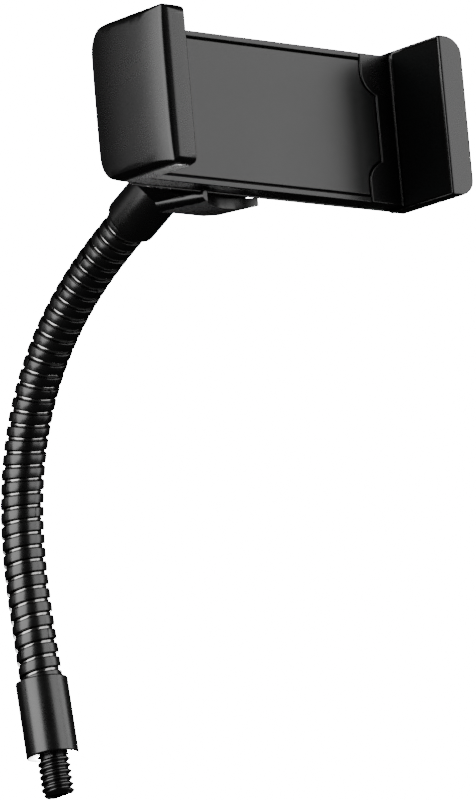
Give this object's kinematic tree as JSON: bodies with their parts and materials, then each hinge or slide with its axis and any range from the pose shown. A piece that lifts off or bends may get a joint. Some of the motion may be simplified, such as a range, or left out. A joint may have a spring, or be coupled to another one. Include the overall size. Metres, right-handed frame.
{
  "type": "phone clamp holder",
  "caption": "Spring-loaded phone clamp on a ball joint, carried by a flexible arm that ends in a camera-thread stud.",
  "frame": {"origin": "centre of the lower sleeve's bottom face, on the stud's axis", "axes": "-Z along the stud, out of the sleeve; +X the way the arm bends and the phone faces; +Y from the fixed jaw to the sliding jaw"},
  "size_m": [0.0985, 0.0774, 0.1299],
  "materials": {
    "black_steel": "satin black coating",
    "spring_steel": "drawn wire",
    "ball_steel": "blackened and polished",
    "screw_steel": "black zinc",
    "black_plastic": "fine satin texture",
    "panel_plastic": "fine matt texture",
    "pad_rubber": "matt rubber"
  },
  "bodies": {
    "root": {"stud": "black_steel", "lower_sleeve": "black_steel", "winding_foot": "black_steel", "inner_coil": "spring_steel"},
    "link_01": {"winding_01": "black_steel"},
    "link_02": {"winding_02": "black_steel"},
    "link_03": {"winding_03": "black_steel"},
    "link_04": {"winding_04": "black_steel"},
    "link_05": {"winding_05": "black_steel"},
    "link_06": {"winding_06": "black_steel"},
    "link_07": {"winding_07": "black_steel"},
    "link_08": {"winding_08": "black_steel"},
    "link_09": {"winding_09": "black_steel"},
    "link_10": {"winding_10": "black_steel"},
    "link_11": {"winding_11": "black_steel"},
    "link_12": {"winding_12": "black_steel"},
    "link_13": {"winding_13": "black_steel"},
    "link_14": {"winding_14": "black_steel"},
    "link_15": {"winding_15": "black_steel"},
    "link_16": {"winding_16": "black_steel"},
    "link_17": {"winding_17": "black_steel"},
    "link_18": {"winding_18": "black_steel"},
    "link_19": {"winding_19": "black_steel"},
    "link_20": {"winding_20": "black_steel"},
    "link_21": {"winding_21": "black_steel"},
    "link_22": {"winding_22": "black_steel"},
    "link_23": {"winding_23": "black_steel"},
    "head": {"winding_24": "black_steel", "winding_head": "black_steel", "upper_collar": "black_steel"},
    "ball": {"ball_stud": "ball_steel"},
    "clamp": {"socket_block": "black_plastic", "block_screws": "screw_steel", "retainer_ring": "black_steel", "ring_screws": "screw_steel", "body_shell": "black_plastic", "front_panel": "panel_plastic", "panel_screws": "screw_steel", "fixed_jaw_pad": "pad_rubber", "upper_spring": "spring_steel", "lower_spring": "spring_steel"},
    "sliding_jaw": {"slider": "black_plastic", "sliding_jaw_pad": "pad_rubber"}
  },
  "joints": [
    {"name": "bend_01", "type": "hinge", "parent": "root", "child": "link_01", "pos_m": [0, 0, 0.01526], "axis": [0, 1, 0], "range_deg": [-10, 10], "deforming": ["inner_coil"]},
    {"name": "bend_02", "type": "hinge", "parent": "link_01", "child": "link_02", "pos_m": [0, 0, 0.01944], "axis": [0, 1, 0], "range_deg": [-10, 10], "deforming": ["inner_coil"]},
    {"name": "sway_03", "type": "hinge", "parent": "link_02", "child": "link_03", "pos_m": [0, 0, 0.02361], "axis": [1, 0, 0], "range_deg": [-10, 10], "deforming": ["inner_coil"]},
    {"name": "bend_04", "type": "hinge", "parent": "link_03", "child": "link_04", "pos_m": [0, 0, 0.02779], "axis": [0, 1, 0], "range_deg": [-10.7, 9.3], "deforming": ["inner_coil"]},
    {"name": "bend_05", "type": "hinge", "parent": "link_04", "child": "link_05", "pos_m": [0.00006, 0, 0.03196], "axis": [0, 1, 0], "range_deg": [-11.1, 8.9], "deforming": ["inner_coil"]},
    {"name": "sway_06", "type": "hinge", "parent": "link_05", "child": "link_06", "pos_m": [0.00024, 0, 0.03613], "axis": [0.9982, 0, -0.0597], "range_deg": [-10, 10], "deforming": ["inner_coil"]},
    {"name": "bend_07", "type": "hinge", "parent": "link_06", "child": "link_07", "pos_m": [0.00057, 0, 0.04029], "axis": [0, 1, 0], "range_deg": [-11.8, 8.2], "deforming": ["inner_coil"]},
    {"name": "bend_08", "type": "hinge", "parent": "link_07", "child": "link_08", "pos_m": [0.0011, 0, 0.04443], "axis": [0, 1, 0], "range_deg": [-12.1, 7.9], "deforming": ["inner_coil"]},
    {"name": "sway_09", "type": "hinge", "parent": "link_08", "child": "link_09", "pos_m": [0.00186, 0, 0.04854], "axis": [0.9775, 0, -0.2111], "range_deg": [-10, 10], "deforming": ["inner_coil"]},
    {"name": "bend_10", "type": "hinge", "parent": "link_09", "child": "link_10", "pos_m": [0.00287, 0, 0.05259], "axis": [0, 1, 0], "range_deg": [-12.6, 7.4], "deforming": ["inner_coil"]},
    {"name": "bend_11", "type": "hinge", "parent": "link_10", "child": "link_11", "pos_m": [0.00415, 0, 0.05656], "axis": [0, 1, 0], "range_deg": [-12.7, 7.3], "deforming": ["inner_coil"]},
    {"name": "sway_12", "type": "hinge", "parent": "link_11", "child": "link_12", "pos_m": [0.00571, 0, 0.06043], "axis": [0.9129, 0, -0.4082], "range_deg": [-10, 10], "deforming": ["inner_coil"]},
    {"name": "bend_13", "type": "hinge", "parent": "link_12", "child": "link_13", "pos_m": [0.00756, 0, 0.06417], "axis": [0, 1, 0], "range_deg": [-12.9, 7.1], "deforming": ["inner_coil"]},
    {"name": "bend_14", "type": "hinge", "parent": "link_13", "child": "link_14", "pos_m": [0.00969, 0, 0.06776], "axis": [0, 1, 0], "range_deg": [-13, 7], "deforming": ["inner_coil"]},
    {"name": "sway_15", "type": "hinge", "parent": "link_14", "child": "link_15", "pos_m": [0.01209, 0, 0.07118], "axis": [0.7945, 0, -0.6073], "range_deg": [-10, 10], "deforming": ["inner_coil"]},
    {"name": "bend_16", "type": "hinge", "parent": "link_15", "child": "link_16", "pos_m": [0.01476, 0, 0.07439], "axis": [0, 1, 0], "range_deg": [-12.9, 7.1], "deforming": ["inner_coil"]},
    {"name": "bend_17", "type": "hinge", "parent": "link_16", "child": "link_17", "pos_m": [0.01766, 0, 0.07739], "axis": [0, 1, 0], "range_deg": [-12.8, 7.2], "deforming": ["inner_coil"]},
    {"name": "sway_18", "type": "hinge", "parent": "link_17", "child": "link_18", "pos_m": [0.02077, 0, 0.08017], "axis": [0.6382, 0, -0.7699], "range_deg": [-10, 10], "deforming": ["inner_coil"]},
    {"name": "bend_19", "type": "hinge", "parent": "link_18", "child": "link_19", "pos_m": [0.02408, 0, 0.08272], "axis": [0, 1, 0], "range_deg": [-12.5, 7.5], "deforming": ["inner_coil"]},
    {"name": "bend_20", "type": "hinge", "parent": "link_19", "child": "link_20", "pos_m": [0.02754, 0, 0.08505], "axis": [0, 1, 0], "range_deg": [-12.3, 7.7], "deforming": ["inner_coil"]},
    {"name": "sway_21", "type": "hinge", "parent": "link_20", "child": "link_21", "pos_m": [0.03114, 0, 0.08716], "axis": [0.482, 0, -0.8762], "range_deg": [-10, 10], "deforming": ["inner_coil"]},
    {"name": "bend_22", "type": "hinge", "parent": "link_21", "child": "link_22", "pos_m": [0.03485, 0, 0.08908], "axis": [0, 1, 0], "range_deg": [-11.7, 8.3], "deforming": ["inner_coil"]},
    {"name": "bend_23", "type": "hinge", "parent": "link_22", "child": "link_23", "pos_m": [0.03864, 0, 0.09083], "axis": [0, 1, 0], "range_deg": [-11.4, 8.6], "deforming": ["inner_coil"]},
    {"name": "sway_24", "type": "hinge", "parent": "link_23", "child": "head", "pos_m": [0.04249, 0, 0.09244], "axis": [0.3718, 0, -0.9283], "range_deg": [-10, 10], "deforming": ["inner_coil"]},
    {"name": "clamp_turn", "type": "hinge", "parent": "head", "child": "ball", "pos_m": [0.06473, 0, 0.10086], "axis": [0.9357, 0, 0.3528], "continuous": true},
    {"name": "clamp_tilt", "type": "hinge", "parent": "ball", "child": "clamp", "pos_m": [0.06473, 0, 0.10086], "axis": [0, 1, 0], "range_deg": [-58.9, 5.1]},
    {"name": "jaw_slide", "type": "slide", "parent": "clamp", "child": "sliding_jaw", "axis": [0, 1, 0], "range_m": [0, 0.026], "stiffness_N_per_m": 400, "springref_m": -0.02, "deforming": ["upper_spring", "lower_spring"]}
  ]
}
